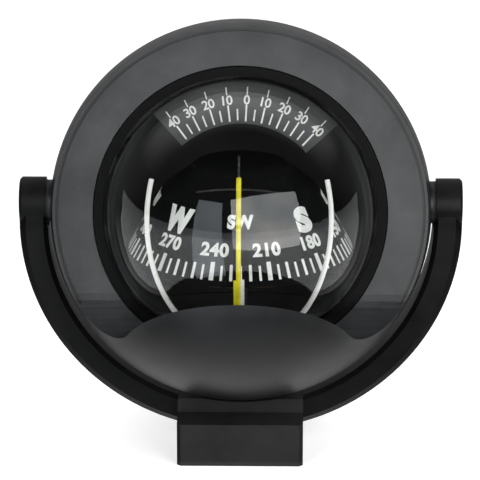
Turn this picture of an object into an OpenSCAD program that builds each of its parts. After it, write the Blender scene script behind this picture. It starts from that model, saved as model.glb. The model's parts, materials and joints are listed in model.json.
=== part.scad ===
// Bracket-mounted ball compass: a tilting ball housing with a liquid-filled capsule, in a U-shaped bracket.
// X runs to the right, Y to the back and Z up. The origin is the middle of the foot's underside.

/* [Housing] */
// Outer radius of the ball housing
ball_r = 63.3; // [62:0.1:64]
// Height of the ball's centre above the foot's underside
ball_z = 82.5; // [82:0.5:84]
// Backward tilt of the housing as stored, in degrees
rest_tilt = 12; // [0:1:15]
// Distance of the flat front face in front of the ball's centre
face_y = 14; // [13:0.5:15]
// Wall thickness of the rear shell
shell_wall = 3; // [2.5:0.1:3.5]
// Rise of the chin's upper side towards the front, in degrees
chin_slope = 30; // [25:1:32]
// Radius of the hollow between the face and the chin
chin_fillet_r = 15; // [13:1:18]

/* [Capsule] */
// Outer radius of the clear dome
dome_r = 45.5; // [45:0.1:46]
// Distance of the dome's centre in front of the ball's centre
dome_y = 8; // [7:0.5:9]
// Thickness of the clear dome
dome_wall = 2; // [1.6:0.1:2.2]

/* [Card] */
// Radius of the card's lower edge
card_rim_r = 38; // [36:0.1:38.2]
// Thickness of the card's skirt
card_wall = 1.2; // [1:0.1:1.4]

/* [Bracket] */
// Inner radius of the bracket's arms
arm_in_r = 63.9; // [63.9:0.1:65]
// Outer radius of the bracket's arms
arm_out_r = 73.3; // [72:0.1:75]
// Width of the bracket's arms, front to back
arm_w = 15; // [12:0.5:16]
// Height of the tilt axis above the ball's centre
pivot_rise = 2.8; // [0:0.1:3]
// Height of the ball's centre above the centre of the arms' curve
arm_drop = 3.1; // [1:0.1:3.5]

/* [Foot] */
// Width of the foot
foot_w = 42; // [40:1:44]
// Depth of the foot, front to back
foot_d = 46; // [44:1:50]
// Height of the foot with its pad
foot_h = 14.6; // [13:0.1:15]

/* [Hidden] */

$fn = 96;
big = 200;                      // larger than any piece
pivot_z = ball_z + pivot_rise;

// housing
seam_y = -10;                   // where the bezel meets the rear shell
lip_r = sqrt(ball_r * ball_r - face_y * face_y);
chin_peak_y = -57;              // where the chin's upper side meets the ball
chin_peak_z = -25.5;
plate_t = 2.3;                  // thickness of the bezel's face
hole_clear = 0.3;
gasket_r = 48.6;                // outer radius of the dome gasket
groove_w = 0.9;                 // dark line beside the lip
screw_ring_r = 56;              // circle of the housing screws
screw_r = 1.5;
screw_head_r = 2.8;
screw_boss_r = 3.4;
screw_head_y = 24;
screw_tip_y = -13;
screw_angles = [45, 135, 225, 315];

// trunnions
trunnion_r = 7;
trunnion_x = 63.6;
washer_t = 1;
boss_r = 8;
boss_in_x = trunnion_x + washer_t;
boss_out_x = 73.3;
boss_bevel = 0.8;
pivot_shank_r = 3;
pivot_run = 0.05;               // running clearance of the pivot screw
pivot_head_r = 5.2;
pivot_pocket_r = 5.6;
pocket_x = 69;
insert_r = 4.5;
insert_in_x = 54.5;

// capsule
bowl_in_r = dome_r - dome_wall;
bowl_wall = 2.5;
flange_r = 51.5;
flange_t = 2;
split_y = -9.5;                 // where the dome's flange meets the bowl's
port_r = 15;                    // opening behind the bowl for the diaphragm
port_y = 37;

// card, about the dome's centre
rim_z = -13.4;
waist_r = 25.5;
waist_z = 8.6;
crown_r = 17;
crown_z = 15.2;
top_z = 16.6;

// gimbal, about the dome's centre
fork_in_x = 8.6;
fork_out_x = 10.4;
gimbal_in_r = 6;
gimbal_out_r = 7.8;
gimbal_pin_r = 1;
gimbal_run = 0.05;

// sight lines, about the dome's centre
lubber_r = dome_r - dome_wall - 1.2;
wire_r = 0.8;
side_bearing = 44;
side_lean = 9;                  // forward lean of the side wires in the housing
side_low = -46;
side_high = 27;
main_wire_r = 0.8;
main_low = -47;                 // elevation where the front wire enters the dish
base_in_r = 41.4;
base_top_z = -30.5;

// clinometer scale, about the dome's centre
scale_y = 2;
scale_in_r = 29;
scale_angle = 90;
scale_roll = 3;                 // the scale sits turned by this in the capsule

// compensators, about the ball's centre
comp_z = -53;
comp_r = 3;
comp_run = 0.05;
comp_ns_y = [9, 33];
comp_ew_y = 3;
comp_ew_x = [-32, 9];

// bracket and foot
pad_t = 1.5;
foot_hole = [14, 15.5];         // mounting holes, from the middle
foot_hole_r = 2.25;
foot_hole_z = 11;
cheek_y = 11;
cheek_z = 19.4;
cheek_gap = 0.9;                // clearance between the ball and the cheeks
bracket_screw_x = 10;
bracket_screw_r = 2.5;
bracket_head_r = 4.6;
bracket_head_z = 4.4;
bracket_tip_z = 14;

ball_color = "#26272a";
black = "#101113";
steel = "#b9bcc0";
brass = "#b08d3c";

function arc(cy, cz, r, a0, a1, n) =
    [for (i = [0:n]) let (a = a0 + (a1 - a0) * i / n) [cy + r * cos(a), cz + r * sin(a)]];

// The ball's own frame, which the rest tilt leans back
module at_ball() { translate([0, 0, ball_z]) rotate([-rest_tilt, 0, 0]) children(); }
module at_dome() { at_ball() translate([0, -dome_y, 0]) children(); }
// The same centre, but upright: the card and its pendulum hang level
module at_level() {
    translate([0, -dome_y * cos(rest_tilt), ball_z + dome_y * sin(rest_tilt)]) children();
}
// Back from the ball's frame to the tilt axis
module from_ball_to_pivot() { rotate([rest_tilt, 0, 0]) translate([0, 0, pivot_rise]) children(); }
module along_x(x0, x1, r) { translate([x0, 0, 0]) rotate([0, 90, 0]) cylinder(h = x1 - x0, r = r); }
module along_y(y0, y1, r) { translate([0, y0, 0]) rotate([-90, 0, 0]) cylinder(h = y1 - y0, r = r); }
// A body of revolution about Y: the profile's points are [radius, y]
module turned_y() { rotate([-90, 0, 0]) rotate_extrude() children(); }
module ball(r) { rotate([-90, 0, 0]) sphere(r = r, $fn = 128); }
module spherical_shell(r_in, r_out) { difference() { ball(r_out); ball(r_in); } }
module before_y(y) { translate([-big, y - 2 * big, -big]) cube([2 * big, 2 * big, 2 * big]); }
module behind_y(y) { translate([-big, y, -big]) cube([2 * big, 2 * big, 2 * big]); }
// A side profile in Y and Z, extruded across X
module across_x(w) {
    translate([-w / 2, 0, 0]) rotate([90, 0, 90]) linear_extrude(height = w) children();
}
module on_side(s) { mirror([s < 0 ? 1 : 0, 0, 0]) children(); }
module at_pivot() { translate([0, 0, pivot_z]) children(); }

/* The space in front of the face and above the chin. The face ends in a hollow that
   runs forward and up to the chin's edge. grow moves the face and the hollow forward. */
module front_space(grow = 0) {
    r = chin_fillet_r - grow;
    cy = -face_y - chin_fillet_r;
    dir_y = -cos(chin_slope);
    dir_z = sin(chin_slope);
    tangent_y = cy - chin_fillet_r * sin(chin_slope);
    tangent_z = chin_peak_z - (chin_peak_y - tangent_y) / dir_y * dir_z;
    cz = tangent_z + chin_fillet_r * cos(chin_slope);
    hollow = arc(cy, cz, r, 0, -90 - chin_slope, 14);
    last = hollow[len(hollow) - 1];
    across_x(2 * big) polygon(concat(
        [[-big, big], [-face_y - grow, big]],
        hollow,
        [[last[0] + dir_y * big, last[1] + dir_z * big]]));
}

module front_bezel() {
    at_ball() color(ball_color) difference() {
        ball(ball_r);
        behind_y(seam_y);
        front_space();
        // room for the dome and its gasket
        translate([0, -dome_y, 0]) ball(gasket_r + hole_clear);
        along_y(-face_y + plate_t, seam_y + 1, ball_r - shell_wall - 2);
        // hollow behind the chin
        difference() {
            ball(ball_r - shell_wall);
            behind_y(-face_y + plate_t);
            front_space(-plate_t);
        }
        // fine groove beside the lip
        turned_y() translate([lip_r - 1.9, -face_y - 1]) square([groove_w, 1.7]);
        bezel_screw_holes();
    }
}
module bezel_screw_holes() {
    for (a = screw_angles) rotate([0, a, 0]) translate([screw_ring_r, 0, 0])
        along_y(screw_tip_y, seam_y + 1, screw_r);
}

module rear_shell() {
    ledge_y = split_y + flange_t + 0.1;
    at_ball() color(ball_color) difference() {
        union() {
            intersection() {
                union() {
                    spherical_shell(ball_r - shell_wall, ball_r);
                    for (a = screw_angles) rotate([0, a, 0]) translate([screw_ring_r, 0, 0])
                        along_y(seam_y, 31, screw_boss_r);
                }
                ball(ball_r);
                behind_y(seam_y);
            }
            turned_y() translate([47, ledge_y]) square([13.4, 3]);
            // trunnion bosses on the tilt axis
            for (s = [-1, 1]) on_side(s) from_ball_to_pivot() along_x(54.5, trunnion_x, trunnion_r);
        }
        for (a = screw_angles) rotate([0, a, 0]) translate([screw_ring_r, 0, 0]) {
            along_y(seam_y - 1, 40, screw_r);
            along_y(screw_head_y, 40, screw_head_r + 0.2);
        }
        for (s = [-1, 1]) on_side(s) from_ball_to_pivot() along_x(50, 70, insert_r);
        translate([0, 0, comp_z]) along_y(10, 60, comp_r + comp_run);
        translate([0, comp_ew_y, comp_z]) along_x(-60, 0, comp_r + comp_run);
    }
}

module housing_screws() {
    at_ball() color(steel) for (a = screw_angles) rotate([0, a, 0]) translate([screw_ring_r, 0, 0])
        difference() {
            union() {
                along_y(screw_tip_y, screw_head_y, screw_r);
                along_y(screw_head_y, screw_head_y + 2.2, screw_head_r);
            }
            translate([-2, screw_head_y + 1.2, -0.35]) cube([4, 2, 0.7]);
            translate([-0.35, screw_head_y + 1.2, -2]) cube([0.7, 2, 4]);
        }
}

module dome_gasket() {
    at_ball() color(black) difference() {
        intersection() {
            translate([0, -dome_y, 0]) ball(gasket_r);
            before_y(split_y - flange_t);
        }
        translate([0, -dome_y, 0]) ball(dome_r + 0.05);
        front_space(0.5);
    }
}

module dome() {
    at_dome() color([0.85, 0.9, 0.92, 0.3]) difference() {
        union() {
            intersection() {
                ball(dome_r);
                before_y(split_y + dome_y);
            }
            along_y(split_y - flange_t + dome_y, split_y + dome_y, flange_r);
        }
        ball(dome_r - dome_wall);
    }
}

module capsule_bowl() {
    at_dome() color("#2b2d30") difference() {
        union() {
            intersection() {
                ball(bowl_in_r + bowl_wall);
                behind_y(split_y + dome_y);
            }
            along_y(split_y + dome_y, split_y + dome_y + flange_t, flange_r);
            along_y(38, port_y + dome_y, port_r + 4);
        }
        ball(bowl_in_r);
        along_y(30, 60, port_r);
        // seat of the seal
        turned_y() translate([48.7, split_y + dome_y - 1]) square([1.6, 1.8]);
        for (a = [0, 90, 180, 270]) rotate([0, a + 45, 0]) translate([port_r + 2.2, 0, 0])
            along_y(port_y + dome_y - 3, 60, 0.8);
        // filling hole, high on the back
        rotate([50, 0, 0]) along_y(30, 60, 2.5);
    }
}

module capsule_seal() {
    at_dome() color(black) turned_y() translate([48.7, split_y + dome_y]) square([1.6, 0.8]);
}

// Thin rubber disc with two rings pressed into it
module diaphragm() {
    at_dome() color(black) difference() {
        turned_y() polygon([[0, 45], [4, 45], [5.5, 43.6], [7, 45], [9, 45],
            [10.5, 43.6], [12, 45], [18.8, 45], [18.8, 45.8], [12.2, 45.8], [10.5, 44.5], [8.8, 45.8],
            [7.2, 45.8], [5.5, 44.5], [3.8, 45.8], [0, 45.8]]);
        for (a = [0, 90, 180, 270]) rotate([0, a + 45, 0]) translate([port_r + 2.2, 0, 0])
            along_y(44, 47, 0.85);
    }
}

module diaphragm_cover() {
    y0 = port_y + dome_y + 0.8;
    at_dome() color(ball_color) difference() {
        along_y(y0, y0 + 2.4, 19);
        along_y(y0 - 1, y0 + 1.4, 13.5);
        along_y(y0, y0 + 3, 1.5);
        for (a = [0, 90, 180, 270]) rotate([0, a + 45, 0]) translate([port_r + 2.2, 0, 0])
            along_y(y0 - 1, y0 + 3, 0.85);
    }
}

module diaphragm_screws() {
    y0 = port_y + dome_y;
    at_dome() color(steel) for (a = [0, 90, 180, 270]) rotate([0, a + 45, 0])
        translate([port_r + 2.2, 0, 0]) {
            along_y(y0 - 3, y0 + 3.2, 0.8);
            along_y(y0 + 3.2, y0 + 4.4, 1.6);
        }
}

module fill_plug() {
    at_dome() color(brass) rotate([50, 0, 0]) difference() {
        union() {
            along_y(43.4, 46.2, 2.5);
            along_y(46.2, 48.2, 4);
        }
        translate([-3, 47.4, -0.4]) cube([6, 2, 0.8]);
    }
}

module compensator_block() {
    at_ball() color(black) difference() {
        intersection() {
            translate([-9, -2, comp_z - 4.4]) cube([18, 20, 8.2]);
            ball(ball_r - shell_wall - 0.02);
        }
        translate([0, -dome_y, 0]) ball(bowl_in_r + bowl_wall + 0.1);
        translate([0, 0, comp_z]) along_y(comp_ns_y[0] - 0.1, 60, comp_r + comp_run);
        translate([0, comp_ew_y, comp_z]) along_x(-60, comp_ew_x[1] + 1, comp_r + comp_run);
    }
}

// A turning brass shaft with a driver slot in its outer end
module compensator_ns() {
    at_ball() color(brass) translate([0, 0, comp_z]) difference() {
        along_y(comp_ns_y[0], comp_ns_y[1], comp_r);
        translate([-4, comp_ns_y[1] - 1.2, -0.5]) cube([8, 3, 1]);
    }
}
module compensator_ew() {
    at_ball() color(brass) translate([0, comp_ew_y, comp_z]) difference() {
        along_x(comp_ew_x[0], comp_ew_x[1], comp_r);
        translate([comp_ew_x[0] - 1.8, -4, -0.5]) cube([3, 8, 1]);
    }
}

// Shallow dish in the bottom of the capsule that the sight lines stand on
module lubber_base() {
    at_dome() color(black) intersection() {
        spherical_shell(base_in_r, bowl_in_r - 0.05);
        translate([-big, -big, base_top_z - big]) cube([2 * big, 2 * big, big]);
        difference() {
            translate([0, 0, -big]) cylinder(h = big, r = 40);
            translate([0, 0, -big]) cylinder(h = big, r = 9);
        }
    }
}

// A wire bent to the dome, at one bearing from the front, between two elevations
module sight_line(bearing, low, high, r, lean = 0) {
    at_dome() rotate([lean, 0, bearing]) rotate([0, 0, -90]) rotate([90, 0, 0])
        rotate([0, 0, low]) rotate_extrude(angle = high - low) translate([lubber_r, 0]) circle(r = r, $fn = 24);
}
module main_lubber_line() { color("#f2e21b") sight_line(0, main_low, 20, main_wire_r); }
module lubber_tip() { color(steel) sight_line(0, 20, 30, 0.35); }
module left_lubber_line() { color("#e9e6dc") sight_line(-side_bearing, side_low, side_high, wire_r, side_lean); }
module right_lubber_line() { color("#e9e6dc") sight_line(side_bearing, side_low, side_high, wire_r, side_lean); }

module clinometer_scale() {
    at_dome() rotate([0, scale_roll, 0]) color("#4a4c4e") intersection() {
        along_y(scale_y, scale_y + 1, bowl_in_r + 5);
        ball(bowl_in_r - 0.02);
        difference() {
            across_y_wedge(scale_angle);
            along_y(-1, 10, scale_in_r);
        }
    }
}
// A wedge about the vertical, opening upwards
module across_y_wedge(angle) {
    h = 60;
    w = h * tan(angle / 2);
    translate([0, 10, 0]) rotate([90, 0, 0]) linear_extrude(height = 20) polygon([[0, 0], [w, h], [-w, h]]);
}

module gimbal_stand() {
    at_dome() color(black) difference() {
        intersection() {
            union() {
                translate([0, 0, -44]) cylinder(h = 4, r = 8);
                translate([0, 0, -42]) cylinder(h = 28, r = 2.5);
                translate([-fork_out_x, -2.5, -15]) cube([2 * fork_out_x, 5, 2.5]);
                for (s = [-1, 1]) on_side(s)
                    translate([fork_in_x, -2.5, -15]) cube([fork_out_x - fork_in_x, 5, 17.4]);
            }
            ball(bowl_in_r - 0.02);
        }
        along_x(-20, 20, gimbal_pin_r + gimbal_run);
    }
}

module gimbal_ring() {
    at_level() color(brass) difference() {
        translate([0, 0, -1.6]) cylinder(h = 3.2, r = gimbal_out_r);
        translate([0, 0, -3]) cylinder(h = 6, r = gimbal_in_r);
        along_x(-20, 20, gimbal_pin_r);
        along_y(-20, 20, gimbal_pin_r);
    }
}
module pitch_pins() {
    at_level() color(steel) for (s = [-1, 1]) on_side(s) along_x(gimbal_in_r + 0.1, fork_out_x, gimbal_pin_r);
}
module roll_pins() {
    at_level() color(steel) for (s = [0, 1]) mirror([0, s, 0]) along_y(3, gimbal_out_r, gimbal_pin_r);
}

// Hub on the roll pins, with the card's pivot on top and two arms down to the weight
module card_carrier() {
    arm = [[0, 4.2], [11, 4.2], [25.4, -12], [29, -12], [29, -10.6], [12, 5.8], [0, 5.8]];
    at_level() color(brass) difference() {
        union() {
            along_y(-5, 5, 3);
            cylinder(h = 6.4, r = 1.6);
            translate([0, 0, 6.4]) cylinder(h = 2.5, r1 = 1.6, r2 = 0.25);
            for (s = [0, 1]) mirror([0, s, 0]) across_x(3) polygon(arm);
        }
        along_y(-20, 20, gimbal_pin_r + gimbal_run);
    }
}
module pendulum_weight() {
    at_level() color(brass) translate([0, 0, -16]) difference() {
        cylinder(h = 4, r = 31);
        translate([0, 0, -1]) cylinder(h = 6, r = 26);
    }
}

module compass_card() {
    w = card_wall;
    at_level() color(black) rotate_extrude() polygon([[0, top_z - w], [crown_r - w, top_z - w],
        [crown_r - w, crown_z - w], [waist_r - w, waist_z], [card_rim_r - w, rim_z], [card_rim_r, rim_z],
        [waist_r, waist_z], [crown_r, crown_z], [crown_r - 1.6, top_z], [0, top_z]]);
}
module card_float() {
    at_level() color("#c9cbb9") translate([0, 0, 10.5]) difference() {
        cylinder(h = top_z - card_wall - 10.5, r = 15.4);
        translate([0, 0, -1]) cylinder(h = 20, r = 11.4);
    }
}
module card_magnets() {
    at_level() color("#5d5f63") for (s = [-1, 1]) on_side(s)
        translate([6, -6, top_z - card_wall - 3]) cube([3, 12, 3]);
}
module card_jewel() {
    at_level() color("#8f1f3a") difference() {
        translate([0, 0, 8]) cylinder(h = top_z - card_wall - 8, r = 2.6);
        translate([0, 0, 7.9]) cylinder(h = 1.6, r1 = 1.7, r2 = 0.5);
    }
}

module yoke() {
    color(black) difference() {
        union() {
            difference() {
                at_arms() turned_y() arm_section();
                translate([-big, -big, pivot_z]) cube([2 * big, 2 * big, big]);
            }
            at_pivot() for (s = [-1, 1]) on_side(s) {
                along_x(boss_in_x, boss_out_x - boss_bevel, boss_r);
                translate([boss_out_x - boss_bevel, 0, 0]) rotate([0, 90, 0])
                    cylinder(h = boss_bevel, r1 = boss_r, r2 = boss_r - boss_bevel);
            }
        }
        at_pivot() for (s = [-1, 1]) on_side(s) {
            along_x(55, boss_in_x, boss_r + 0.5);
            along_x(60, 80, pivot_shank_r + pivot_run);
            along_x(pocket_x, 80, pivot_pocket_r);
        }
        for (s = [-1, 1]) translate([s * bracket_screw_x, 0, 0])
            cylinder(h = bracket_tip_z, r = bracket_screw_r);
    }
}
// Centre of the arms' curve
module at_arms() { translate([0, 0, ball_z - arm_drop]) children(); }
// Flat strap with bevelled edges, wide ones outside
module arm_section() {
    h = arm_w / 2;
    b = 2.2;
    c = 1.4;
    polygon([[arm_in_r, -h + c], [arm_in_r + c, -h], [arm_out_r - b, -h], [arm_out_r, -h + b],
        [arm_out_r, h - b], [arm_out_r - b, h], [arm_in_r + c, h], [arm_in_r, h - c]]);
}

module foot() {
    color(black) difference() {
        union() {
            translate([0, 0, pad_t]) linear_extrude(height = foot_h - pad_t) foot_outline();
            // raised cheeks before and behind the bracket's arms
            difference() {
                translate([-foot_w / 2, -cheek_y, pad_t + 1]) cube([foot_w, 2 * cheek_y, cheek_z - pad_t - 1]);
                translate([0, 0, ball_z]) along_y(-cheek_y - 1, cheek_y + 1, ball_r + cheek_gap);
            }
        }
        // saddle for the bracket's arms
        at_arms() along_y(-arm_w / 2 - 0.1, arm_w / 2 + 0.1, arm_out_r);
        // blind holes for screws from below
        for (x = [-1, 1], y = [-1, 1]) translate([x * foot_hole[0], y * foot_hole[1], 0])
            cylinder(h = foot_hole_z, r = foot_hole_r);
        for (s = [-1, 1]) translate([s * bracket_screw_x, 0, 0]) {
            cylinder(h = 20, r = bracket_screw_r);
            cylinder(h = bracket_head_z + 0.1, r = bracket_head_r);
        }
    }
}
module foot_outline() {
    c = 1.2;
    x = foot_w / 2;
    y = foot_d / 2;
    polygon([[-x + c, -y], [x - c, -y], [x, -y + c], [x, y - c], [x - c, y], [-x + c, y],
        [-x, y - c], [-x, -y + c]]);
}
module foot_pad() {
    color("#1b1b1b") difference() {
        linear_extrude(height = pad_t) foot_outline();
        for (x = [-1, 1], y = [-1, 1]) translate([x * foot_hole[0], y * foot_hole[1], -1])
            cylinder(h = 5, r = foot_hole_r);
    }
}
module bracket_screws() {
    color(steel) for (s = [-1, 1]) translate([s * bracket_screw_x, 0, 0]) difference() {
        union() {
            translate([0, 0, bracket_head_z]) cylinder(h = bracket_tip_z - bracket_head_z, r = bracket_screw_r);
            translate([0, 0, pad_t + 0.5]) cylinder(h = bracket_head_z - pad_t - 0.5, r = bracket_head_r - 0.2);
        }
        translate([0, 0, pad_t]) cylinder(h = 2, r = 1.7, $fn = 6);
    }
}

module pivot_cap() {
    at_pivot() color(black) along_x(72.3, boss_out_x, pivot_pocket_r);
}
module left_pivot_cap() { on_side(-1) pivot_cap(); }
module right_pivot_cap() { on_side(1) pivot_cap(); }

module friction_washer() {
    at_pivot() color("#3a3a3a") difference() {
        along_x(trunnion_x, boss_in_x, trunnion_r);
        along_x(60, 70, pivot_shank_r);
    }
}
module left_friction_washer() { on_side(-1) friction_washer(); }
module right_friction_washer() { on_side(1) friction_washer(); }

module pivot_screw() {
    at_pivot() color(steel) difference() {
        union() {
            along_x(insert_in_x + 1, pocket_x + 0.1, pivot_shank_r);
            along_x(pocket_x + 0.1, 72, pivot_head_r);
        }
        translate([71, 0, 0]) rotate([0, 90, 0]) cylinder(h = 3, r = 2.3, $fn = 6);
    }
}
module left_pivot_screw() { on_side(-1) pivot_screw(); }
module right_pivot_screw() { on_side(1) pivot_screw(); }

module thread_insert() {
    at_pivot() color(brass) difference() {
        along_x(insert_in_x, trunnion_x, insert_r);
        along_x(50, 70, pivot_shank_r);
    }
}
module left_thread_insert() { on_side(-1) thread_insert(); }
module right_thread_insert() { on_side(1) thread_insert(); }

foot();
foot_pad();
bracket_screws();
yoke();
left_pivot_cap();
right_pivot_cap();
left_friction_washer();
right_friction_washer();
left_pivot_screw();
right_pivot_screw();
left_thread_insert();
right_thread_insert();
front_bezel();
rear_shell();
housing_screws();
dome_gasket();
dome();
capsule_bowl();
capsule_seal();
diaphragm();
diaphragm_cover();
diaphragm_screws();
fill_plug();
compensator_block();
compensator_ns();
compensator_ew();
lubber_base();
main_lubber_line();
lubber_tip();
left_lubber_line();
right_lubber_line();
clinometer_scale();
gimbal_stand();
gimbal_ring();
pitch_pins();
roll_pins();
card_carrier();
pendulum_weight();
compass_card();
card_float();
card_magnets();
card_jewel();
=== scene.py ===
"""Looks of the bracket-mounted ball compass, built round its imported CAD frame. Lengths are in metres."""

import json
import math

import bmesh
import bpy
from mathutils import Matrix, Vector


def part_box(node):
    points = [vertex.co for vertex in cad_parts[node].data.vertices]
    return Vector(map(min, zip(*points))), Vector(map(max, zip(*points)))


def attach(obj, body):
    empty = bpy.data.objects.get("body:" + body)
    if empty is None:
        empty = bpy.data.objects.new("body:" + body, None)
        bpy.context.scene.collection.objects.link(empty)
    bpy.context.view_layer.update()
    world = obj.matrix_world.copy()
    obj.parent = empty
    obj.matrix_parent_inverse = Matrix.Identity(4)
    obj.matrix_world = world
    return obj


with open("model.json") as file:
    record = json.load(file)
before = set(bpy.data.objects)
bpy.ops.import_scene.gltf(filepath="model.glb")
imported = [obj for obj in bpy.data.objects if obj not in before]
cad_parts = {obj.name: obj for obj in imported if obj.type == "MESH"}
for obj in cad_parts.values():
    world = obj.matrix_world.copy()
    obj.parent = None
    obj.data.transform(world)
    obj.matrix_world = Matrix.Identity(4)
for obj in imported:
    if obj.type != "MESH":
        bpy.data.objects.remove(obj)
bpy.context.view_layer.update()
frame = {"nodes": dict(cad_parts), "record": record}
nodes = frame["nodes"]
scene = bpy.context.scene

# ---------------------------------------------------------------- places taken from the frame

card_lo, card_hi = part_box("compass_card")
ring_lo, ring_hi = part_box("gimbal_ring")

DOME = (ring_lo + ring_hi) / 2                # centre of the dome, where the gimbal's axes cross
REST_TILT = math.radians(12)                  # the housing's backward lean as stored
LEAN = Matrix.Rotation(-REST_TILT, 3, "X")    # from the housing's own frame to the stored one
CARD_RIM_R = (card_hi.x - card_lo.x) / 2
CARD_RIM_Z = card_lo.z
CARD_WAIST_R = 0.0255
CARD_WAIST_Z = card_lo.z + 0.022
TICK_FOOT = 0.0020                            # the ticks start this far up the card's slope from its rim
NUMBER_UP = 0.0120                            # middles of the numbers and letters, up the same slope
LETTER_UP = 0.0196
SMALL_LETTER_UP = 0.0213
SCALE_FRONT = 0.002                           # the heel scale's front, behind the dome's centre
SCALE_ROLL = math.radians(3)                  # the heel scale sits turned by this in the capsule
WIRE_R = 0.0423                               # radius to which the sight lines are bent
LUBBER_HEADING = 226                          # the bearing that stands at the front, in degrees
MARK_LIFT = 0.00004                           # printed marks stand this far off their surface
MARK_THICK = 0.00012
TEXTURE_MIDDLE = (0.3, 0.7)                   # the part of a noise's range that most of its values fill


# ---------------------------------------------------------------- materials

class Nodes:
    """A short way to write a node tree."""

    def __init__(self, name):
        self.mat = bpy.data.materials.new(name)
        self.mat.use_nodes = True
        self.tree = self.mat.node_tree
        self.bsdf = self.tree.nodes["Principled BSDF"]
        self.out = self.tree.nodes["Material Output"]

    def add(self, kind, links=None, **values):
        node = self.tree.nodes.new(kind)
        for key, value in values.items():
            if hasattr(node, key):
                setattr(node, key, value)
            else:
                node.inputs[key.replace("_", " ")].default_value = value
        for name, source in (links or {}).items():
            self.link(source, node.inputs[name])
        return node

    def link(self, source, target):
        self.tree.links.new(source, target)

    def set(self, **values):
        for key, value in values.items():
            self.bsdf.inputs[key.replace("_", " ")].default_value = value

    def coords(self):
        return self.add("ShaderNodeTexCoord").outputs["Object"]

    def noise(self, scale, detail=4, rough=0.6, vector=None):
        node = self.add("ShaderNodeTexNoise", {"Vector": vector or self.coords()}, Scale=scale, Detail=detail,
                        Roughness=rough)
        return node.outputs["Fac"]

    def ramp(self, source, stops):
        node = self.add("ShaderNodeValToRGB", {"Fac": source})
        elements = node.color_ramp.elements
        while len(elements) < len(stops):
            elements.new(0.5)
        for element, (place, colour) in zip(elements, stops):
            element.position = place
            element.color = (*colour, 1) if len(colour) == 3 else colour
        return node.outputs["Color"]

    def span(self, source, low, high, start=0.0, end=1.0):
        node = self.add("ShaderNodeMapRange", {"Value": source})
        node.inputs["From Min"].default_value = start
        node.inputs["From Max"].default_value = end
        node.inputs["To Min"].default_value = low
        node.inputs["To Max"].default_value = high
        return node.outputs["Result"]

    def bump(self, height, distance, strength=0.5):
        """Fine relief from a texture, given to the shader's normal."""
        node = self.add("ShaderNodeBump", {"Height": height}, Distance=distance, Strength=strength)
        self.link(node.outputs["Normal"], self.bsdf.inputs["Normal"])

    def colour(self, source, stops):
        self.link(self.ramp(source, stops), self.bsdf.inputs["Base Color"])

    def roughness(self, source, low, high, start=TEXTURE_MIDDLE[0], end=TEXTURE_MIDDLE[1]):
        self.link(self.span(source, low, high, start, end), self.bsdf.inputs["Roughness"])

    def edges(self):
        """Bright where the surface is a sharp outer edge."""
        point = self.add("ShaderNodeNewGeometry").outputs["Pointiness"]
        return self.span(point, 0, 1, 0.5, 0.58)

    def mix(self, factor, first, second):
        node = self.add("ShaderNodeMix", data_type="RGBA")
        self.link(factor, node.inputs["Factor"])
        for socket, value in ((node.inputs[6], first), (node.inputs[7], second)):
            if isinstance(value, tuple):
                socket.default_value = (*value, 1)
            else:
                self.link(value, socket)
        return node.outputs[2]


def moulded_plastic(name, dark, light, rough, grain, depth, wear, shine=0.5):
    """Moulded plastic: fine spark-eroded grain, cloudy handling marks and paler edges."""
    m = Nodes(name)
    place = m.coords()
    cloud = m.noise(45, 5, 0.65, place)
    speck = m.noise(1 / grain, 2, 0.5, place)
    body = m.ramp(cloud, [(0.3, dark), (0.75, light)])
    patchy = m.span(cloud, 0.15, 0.6, *TEXTURE_MIDDLE)
    worn = m.add("ShaderNodeMath", {0: m.edges(), 1: patchy}, operation="MULTIPLY")
    m.link(m.mix(worn.outputs[0], body, wear), m.bsdf.inputs["Base Color"])
    smear = m.noise(18, 6, 0.7, place)
    m.roughness(smear, rough - 0.05, rough + 0.07)
    m.bump(speck, depth, 0.7)
    m.set(Specular_IOR_Level=shine)
    return m.mat


def rubber(name, colour, rough=0.62, shine=0.4):
    """Matt rubber, paler where dust lies on it."""
    m = Nodes(name)
    m.set(Specular_IOR_Level=shine)
    place = m.coords()
    dust = m.noise(70, 6, 0.7, place)
    paler = tuple(c * 2.2 + 0.004 for c in colour)
    m.colour(dust, [(0.35, colour), (0.8, paler)])
    m.roughness(dust, rough - 0.08, rough + 0.12)
    m.bump(m.noise(2500, 2, 0.5, place), 0.00002)
    return m.mat


def metal(name, dark, light, rough):
    """Ground metal with fine tool marks and a little tarnish."""
    m = Nodes(name)
    marks = m.noise(900, 3)
    tarnish = m.noise(120, 5, 0.7)
    m.colour(tarnish, [(0.3, dark), (0.7, light)])
    m.roughness(marks, rough - 0.08, rough + 0.1)
    m.bump(marks, 0.00001)
    m.set(Metallic=1.0)
    return m.mat


def paint(name, colour, shade, rough=0.35):
    """Brushed-on enamel, slightly uneven."""
    m = Nodes(name)
    patch = m.noise(260, 4, 0.6)
    m.colour(patch, [(0.25, shade), (0.6, colour)])
    m.roughness(patch, rough - 0.06, rough + 0.08)
    m.bump(m.noise(1800, 2), 0.000012)
    return m.mat


def clear_dome():
    """Polished clear plastic. Lamps reach what is behind it."""
    m = Nodes("clear_dome_look")
    haze = m.noise(60, 5, 0.7)
    m.set(Base_Color=(0.93, 0.95, 0.96, 1), Transmission_Weight=1.0, IOR=1.12, Specular_IOR_Level=1.0,
          Coat_Weight=1.0, Coat_Roughness=0.02, Coat_IOR=1.5)
    m.roughness(haze, 0.0, 0.02, 0.4, 0.8)
    path = m.add("ShaderNodeLightPath")
    through = m.add("ShaderNodeBsdfTransparent", Color=(0.95, 0.96, 0.96, 1))
    both = m.add("ShaderNodeMixShader", {0: path.outputs["Is Shadow Ray"]})
    m.link(m.bsdf.outputs[0], both.inputs[1])
    m.link(through.outputs[0], both.inputs[2])
    m.link(both.outputs[0], m.out.inputs["Surface"])
    return m.mat


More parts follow.
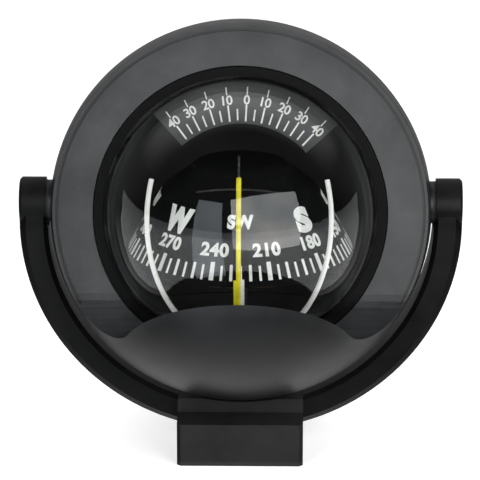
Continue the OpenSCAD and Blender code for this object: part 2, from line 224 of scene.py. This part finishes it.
def sealed_bowl():
    """Inside of the capsule: satin paint on a spun bowl."""
    m = Nodes("bowl_look")
    place = m.coords()
    cloud = m.noise(30, 5, 0.6, place)
    m.colour(cloud, [(0.3, (0.028, 0.028, 0.027)), (0.75, (0.046, 0.045, 0.042))])
    m.roughness(cloud, 0.3, 0.42)
    m.bump(m.noise(1500, 3, 0.5, place), 0.00002)
    return m.mat


def grey(level):
    return (level, level, level)


MATERIALS = {
    "housing_plastic": moulded_plastic("housing_look", (0.0065, 0.0068, 0.0075), (0.0115, 0.012, 0.013),
                                       rough=0.40, grain=0.00035, depth=0.00003,
                                       wear=(0.07, 0.072, 0.075), shine=0.36),
    "bracket_plastic": moulded_plastic("bracket_look", grey(0.0022), grey(0.0045),
                                       rough=0.36, grain=0.0005, depth=0.00003,
                                       wear=grey(0.025), shine=0.08),
    "foot_plastic": moulded_plastic("foot_look", (0.006, 0.006, 0.0052), (0.010, 0.010, 0.0088),
                                    rough=0.45, grain=0.0006, depth=0.00004, wear=grey(0.035), shine=0.2),
    "pad_rubber": rubber("pad_look", grey(0.016), 0.7),
    "washer_rubber": rubber("washer_look", grey(0.02)),
    "gasket_rubber": rubber("gasket_look", grey(0.0015), 0.55, 0.08),
    "stainless": metal("stainless_look", (0.46, 0.47, 0.49), (0.62, 0.63, 0.65), 0.3),
    "brass": metal("brass_look", (0.42, 0.29, 0.10), (0.66, 0.48, 0.2), 0.3),
    "magnet_metal": metal("magnet_look", (0.2, 0.2, 0.21), (0.33, 0.33, 0.35), 0.42),
    "bowl_plastic": sealed_bowl(),
    "clear_dome": clear_dome(),
    "card_plastic": moulded_plastic("card_look", (0.0025, 0.0025, 0.0027), (0.005, 0.005, 0.0052),
                                    rough=0.5, grain=0.0003, depth=0.00001, wear=grey(0.006), shine=0.1),
    "scale_plastic": moulded_plastic("scale_look", (0.026, 0.026, 0.025), (0.036, 0.036, 0.035),
                                     rough=0.6, grain=0.0003, depth=0.00001, wear=grey(0.09)),
    "yellow_paint": paint("yellow_look", (0.82, 0.74, 0.03), (0.62, 0.5, 0.02)),
    "white_paint": paint("white_look", (0.90, 0.89, 0.85), (0.78, 0.76, 0.71)),
    "float_plastic": rubber("float_look", (0.42, 0.42, 0.36), 0.7),
    "jewel": paint("jewel_look", (0.35, 0.02, 0.06), (0.2, 0.01, 0.03), 0.15),
}
MARK_WHITE = paint("mark_look", (0.86, 0.86, 0.82), (0.68, 0.68, 0.64), 0.5)


def finish_cad_nodes():
    """Gives every CAD node the look of its material slot."""
    for row in frame["record"]["subparts"]:
        mesh = nodes[row["node"]].data
        mesh.materials.clear()
        mesh.materials.append(MATERIALS[row["material_slot"]])


# ---------------------------------------------------------------- small mesh tools

def mesh_object(name, verts, faces, body, material):
    data = bpy.data.meshes.new(name)
    data.from_pydata([tuple(v) for v in verts], [], faces)
    data.materials.append(material)
    made = bpy.data.objects.new(name, data)
    scene.collection.objects.link(made)
    tidy = bmesh.new()
    tidy.from_mesh(data)
    bmesh.ops.recalc_face_normals(tidy, faces=tidy.faces)
    tidy.to_mesh(data)
    tidy.free()
    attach(made, body)
    return made


def slab(corners):
    """Vertices and faces of a thin block: four (u, v) corners, made solid from 0 to 1 in depth."""
    verts = [(u, v, d) for d in (0, 1) for u, v in corners]
    faces = [(3, 2, 1, 0), (4, 5, 6, 7)]
    faces += [(i, (i + 1) % 4, (i + 1) % 4 + 4, i + 4) for i in range(4)]
    return verts, faces


def gather(parts):
    """Joins (vertices, faces) pairs into one."""
    verts, faces = [], []
    for part_verts, part_faces in parts:
        start = len(verts)
        verts += part_verts
        faces += [tuple(i + start for i in face) for face in part_faces]
    return verts, faces


def bar(width, height, steps=1):
    """A mark that stands on (0, 0), cut in steps up its height so that it can follow a curve."""
    half = width / 2
    parts = []
    for i in range(steps):
        low = height * i / steps
        high = height * (i + 1) / steps
        parts.append(slab([(-half, low), (half, low), (half, high), (-half, high)]))
    return gather(parts)


def lettering(text, size, weight=0.0, spacing=1.0, widen=1.0):
    """A flat text as vertices (u, v, depth) and faces, centred on (0, 0), with its height given by size."""
    curve = bpy.data.curves.new("lettering", "FONT")
    curve.body = text
    curve.align_x = "CENTER"
    curve.align_y = "CENTER"
    curve.size = 1.0
    curve.offset = weight
    curve.space_character = spacing
    curve.resolution_u = 4
    curve.extrude = 0.5
    holder = bpy.data.objects.new("lettering", curve)
    scene.collection.objects.link(holder)
    bpy.context.view_layer.update()
    mesh = bpy.data.meshes.new_from_object(holder.evaluated_get(bpy.context.evaluated_depsgraph_get()))
    top = max(v.co.y for v in mesh.vertices)
    low = min(v.co.y for v in mesh.vertices)
    left = min(v.co.x for v in mesh.vertices)
    right = max(v.co.x for v in mesh.vertices)
    k = size / (top - low)
    verts = [((v.co.x - (left + right) / 2) * k * widen, (v.co.y - (top + low) / 2) * k, v.co.z + 0.5)
             for v in mesh.vertices]
    faces = [tuple(p.vertices) for p in mesh.polygons]
    bpy.data.objects.remove(holder)
    bpy.data.curves.remove(curve)
    bpy.data.meshes.remove(mesh)
    return verts, faces


# ---------------------------------------------------------------- the card's marks

def on_card(verts, bearing, height):
    """Wraps flat marks on the card's cone: u runs round it, v up its slope, from height above the rim."""
    slope = math.atan2(CARD_RIM_R - CARD_WAIST_R, CARD_WAIST_Z - CARD_RIM_Z)
    turn = math.radians(LUBBER_HEADING - bearing)
    middle_r = CARD_RIM_R - height * math.sin(slope)
    placed = []
    for u, v, depth in verts:
        up = height + v
        r = CARD_RIM_R - up * math.sin(slope)
        out = MARK_LIFT + depth * MARK_THICK
        angle = turn + u / middle_r
        r_out = r + out * math.cos(slope)
        z = CARD_RIM_Z + up * math.cos(slope) + out * math.sin(slope)
        placed.append(Vector((r_out * math.sin(angle), DOME.y - r_out * math.cos(angle), z)))
    return placed


def card_mark(parts, bearing, height, made):
    verts, faces = made
    parts.append((on_card(verts, bearing, height), faces))


def card_ticks():
    parts = []
    for bearing in range(0, 360, 5):
        if bearing % 30 == 0:
            width, height = 0.0015, 0.0060
        elif bearing % 10 == 0:
            width, height = 0.0010, 0.0053
        else:
            width, height = 0.0008, 0.0049
        card_mark(parts, bearing, TICK_FOOT, bar(width, height, 2))
    verts, faces = gather(parts)
    return mesh_object("card_ticks", verts, faces, "card", MARK_WHITE)


def card_numbers():
    parts = []
    for bearing in range(0, 360, 30):
        text = f"{bearing:03d}"
        card_mark(parts, bearing, NUMBER_UP, lettering(text, 0.0046, 0.04, 1.06))
    verts, faces = gather(parts)
    return mesh_object("card_numbers", verts, faces, "card", MARK_WHITE)


def card_letters():
    parts = []
    for bearing, text, widen in ((0, "N", 1), (90, "E", 1.1), (180, "S", 1.15), (270, "W", 0.86)):
        card_mark(parts, bearing, LETTER_UP, lettering(text, 0.0088, 0.075, 1, widen))
    for bearing, text in ((45, "NE"), (135, "SE"), (225, "SW"), (315, "NW")):
        card_mark(parts, bearing, SMALL_LETTER_UP, lettering(text, 0.0048, 0.06, 1.1, 0.88))
    verts, faces = gather(parts)
    return mesh_object("card_letters", verts, faces, "card", MARK_WHITE)


# ---------------------------------------------------------------- the clinometer's marks

def on_scale(verts, tilt, radius):
    """Places flat marks on the heel scale's front, at a tilt from upright and a radius from the centre."""
    a = math.radians(tilt) + SCALE_ROLL
    placed = []
    for u, v, depth in verts:
        r = radius + v
        x = r * math.sin(a) + u * math.cos(a)
        z = r * math.cos(a) - u * math.sin(a)
        y = SCALE_FRONT - MARK_LIFT - depth * MARK_THICK
        placed.append(DOME + LEAN @ Vector((x, y, z)))
    return placed


def scale_mark(parts, tilt, radius, made):
    verts, faces = made
    parts.append((on_scale(verts, tilt, radius), faces))


def clinometer_marks():
    """Ticks every 5 degrees. Each 10 has a longer tick, a number and a short tick that runs up to it."""
    parts = []
    for tilt in range(-40, 41, 5):
        if tilt % 10 == 0:
            scale_mark(parts, tilt, 0.0298, bar(0.00055, 0.0054))
            scale_mark(parts, tilt, 0.0386, bar(0.0004, 0.0026))
            scale_mark(parts, tilt, 0.0369, lettering(str(abs(tilt)), 0.0032, 0.02, 0.95))
        else:
            scale_mark(parts, tilt, 0.0301, bar(0.0005, 0.0038))
    verts, faces = gather(parts)
    return mesh_object("clinometer_marks", verts, faces, "housing", MARK_WHITE)


# ---------------------------------------------------------------- the yellow line's foot

def strip_on_dome(name, left, right, low, high, thick, slot):
    """A thin blade bent like the sight lines, from one side offset to another and between two elevations."""
    steps = 10
    verts = []
    for i in range(steps + 1):
        e = math.radians(low + (high - low) * i / steps)
        for r in (WIRE_R - thick / 2, WIRE_R + thick / 2):
            for x in (left, right):
                verts.append(DOME + LEAN @ Vector((x, -r * math.cos(e), r * math.sin(e))))
    faces = [(0, 1, 3, 2)]
    for i in range(steps):
        n = 4 * i
        ring = ((0, 1), (1, 3), (3, 2), (2, 0))
        faces += [(n + a, n + b, n + b + 4, n + a + 4) for a, b in ring]
    n = 4 * steps
    faces.append((n, n + 2, n + 3, n + 1))
    return mesh_object(name, verts, faces, "housing", MATERIALS[slot])


def lubber_blade():
    """The broad lower end of the yellow line, with a cream strip at its right."""
    strip_on_dome("lubber_blade", -0.0016, 0.0006, -44, -26, 0.0010, "yellow_paint")
    strip_on_dome("lubber_blade_edge", 0.0006, 0.0018, -42, -25.5, 0.0009, "white_paint")


# ---------------------------------------------------------------- stage, lights and camera

CAMERA_AZIMUTH = 0.9
CAMERA_ELEVATION = 18
CAMERA_DISTANCE = 1.1
FRAME_WIDTH = 0.160         # width of the view at the object
AIM = Vector((-0.0003, 0, 0.0718))
FLOOR_WIDTH = 12
FLOOR_GAP = 0.0001


def aim(thing, target, azimuth, elevation, distance):
    """Places a camera, lamp or pane so that it looks at target. An azimuth of 0 is the front."""
    a = math.radians(azimuth)
    e = math.radians(elevation)
    back = Vector((math.sin(a) * math.cos(e), -math.cos(a) * math.cos(e), math.sin(e)))
    thing.location = target + back * distance
    thing.rotation_euler = (-back).to_track_quat("-Z", "Y").to_euler()


def make_camera():
    data = bpy.data.cameras.new("camera")
    data.sensor_width = 36
    data.lens = data.sensor_width * CAMERA_DISTANCE / FRAME_WIDTH
    data.clip_start = 0.05
    data.clip_end = 50
    camera = bpy.data.objects.new("camera", data)
    scene.collection.objects.link(camera)
    aim(camera, AIM, CAMERA_AZIMUTH, CAMERA_ELEVATION, CAMERA_DISTANCE)
    scene.camera = camera


def soft_box(name, azimuth, elevation, distance, width, height, radiance):
    """A rectangular lamp that looks at the dome."""
    data = bpy.data.lights.new(name, "AREA")
    data.shape = "RECTANGLE"
    data.size = width
    data.size_y = height
    data.energy = radiance * math.pi * width * height
    lamp = bpy.data.objects.new(name, data)
    scene.collection.objects.link(lamp)
    aim(lamp, DOME, azimuth, elevation, distance)
    lamp.visible_glossy = False
    lamp.visible_transmission = False


def flat_sheet(name, width, height):
    w = width / 2
    h = height / 2
    data = bpy.data.meshes.new(name)
    data.from_pydata([(-w, -h, 0), (w, -h, 0), (w, h, 0), (-w, h, 0)], [], [(0, 1, 2, 3)])
    sheet = bpy.data.objects.new(name, data)
    scene.collection.objects.link(sheet)
    return sheet


def reflected_pane(name, azimuth, elevation, distance, width, height, bright, dim):
    """A window pane that is seen only as a reflection: it lights nothing."""
    pane = flat_sheet(name, width, height)
    aim(pane, DOME, azimuth, elevation, distance)
    m = Nodes(name + "_look")
    veil = m.noise(2.2, 2, 0.5)
    m.link(m.ramp(veil, [(0.35, dim), (0.65, bright)]), m.bsdf.inputs["Emission Color"])
    m.set(Base_Color=(0, 0, 0, 1), Emission_Strength=1.0, Specular_IOR_Level=0.0)
    pane.data.materials.append(m.mat)
    pane.visible_camera = False
    pane.visible_diffuse = False
    pane.visible_transmission = False
    pane.visible_shadow = False
    pane.visible_volume_scatter = False


def make_lights():
    """Each has azimuth, elevation, distance, width and height, then a lamp's radiance or a pane's colours."""
    soft_box("window_right", 40, 24, 0.75, 0.60, 0.50, 5.2)
    soft_box("window_left", -34, 22, 0.80, 0.40, 0.50, 5.2)
    soft_box("overhead", 175, 68, 0.9, 0.8, 0.6, 2.4)
    reflected_pane("pane_right", 22, 8, 0.7, 0.744, 0.566, (4.9, 4.8, 4.6), (2.7, 2.95, 3.1))
    reflected_pane("pane_left", -25.4, -13, 0.7, 0.30, 1.05, (2.0, 2.2, 2.35), (1.4, 1.55, 1.65))
    reflected_pane("pane_top", -1, 35, 0.7, 0.94, 0.018, (1.0, 1.0, 0.95), (0.6, 0.6, 0.55))


def make_world():
    """A dim studio with a pale ceiling, dark behind the camera. The camera itself sees white."""
    world = bpy.data.worlds.new("studio")
    scene.world = world
    world.use_nodes = True
    tree = world.node_tree
    back = tree.nodes["Background"]
    place = tree.nodes.new("ShaderNodeTexCoord")
    split = tree.nodes.new("ShaderNodeSeparateXYZ")
    tree.links.new(place.outputs["Generated"], split.inputs[0])
    sides = world_ramp(tree, split.outputs["Y"], ((0.12, 0.003), (0.36, 0.012), (0.88, 0.04), (0.985, 0.5)))
    behind = world_ramp(tree, split.outputs["Y"], ((0.50, 0.0), (0.75, 1.0)))
    high = world_ramp(tree, split.outputs["Z"], ((0.66, 0.0), (0.92, 0.6)))
    ceiling = world_mix(tree, "MULTIPLY", high, behind)
    low = world_ramp(tree, split.outputs["Z"], ((0.10, 0.7), (0.42, 0.0)))
    glow = world_mix(tree, "ADD", world_mix(tree, "MULTIPLY", low, behind),
                     world_ramp(tree, split.outputs["Z"], ((0.0, 1.0), (0.14, 0.0))))
    total = world_mix(tree, "ADD", world_mix(tree, "ADD", sides, ceiling), glow)
    seen = tree.nodes.new("ShaderNodeLightPath")
    pick = tree.nodes.new("ShaderNodeMix")
    pick.data_type = "RGBA"
    tree.links.new(seen.outputs["Is Camera Ray"], pick.inputs["Factor"])
    tree.links.new(total, pick.inputs[6])
    pick.inputs[7].default_value = (1, 1, 1, 1)
    tree.links.new(pick.outputs[2], back.inputs["Color"])
    back.inputs["Strength"].default_value = 1.0


def world_mix(tree, how, first, second):
    node = tree.nodes.new("ShaderNodeMix")
    node.data_type = "RGBA"
    node.blend_type = how
    node.inputs["Factor"].default_value = 1.0
    tree.links.new(first, node.inputs[6])
    tree.links.new(second, node.inputs[7])
    return node.outputs[2]


def world_ramp(tree, source, stops):
    """Brightness along one axis of the world, which runs from -1 to 1, as stops of place and grey level."""
    half = tree.nodes.new("ShaderNodeMapRange")
    half.inputs["From Min"].default_value = -1
    half.inputs["From Max"].default_value = 1
    tree.links.new(source, half.inputs["Value"])
    level = tree.nodes.new("ShaderNodeValToRGB")
    tree.links.new(half.outputs["Result"], level.inputs["Fac"])
    elements = level.color_ramp.elements
    while len(elements) < len(stops):
        elements.new(0.5)
    for element, (position, grey) in zip(elements, stops):
        element.position = position
        element.color = (grey, grey, grey, 1)
    return level.outputs["Color"]


def make_floor():
    """Plain pale floor just below the foot. It glows, so that it stays white, and lights nothing."""
    floor = flat_sheet("floor", FLOOR_WIDTH, FLOOR_WIDTH)
    floor.location.z = -FLOOR_GAP
    m = Nodes("floor_look")
    tone = m.noise(3, 3, 0.5)
    m.colour(tone, [(0.2, grey(0.80)), (0.8, grey(0.84))])
    m.set(Roughness=0.8, Emission_Color=(1, 1, 1, 1), Emission_Strength=0.62)
    floor.data.materials.append(m.mat)
    floor.visible_glossy = False
    floor.visible_diffuse = False


make_camera()
make_floor()
finish_cad_nodes()
card_ticks()
card_numbers()
card_letters()
clinometer_marks()
lubber_blade()
make_world()
make_lights()
scene.view_settings.view_transform = "Standard"
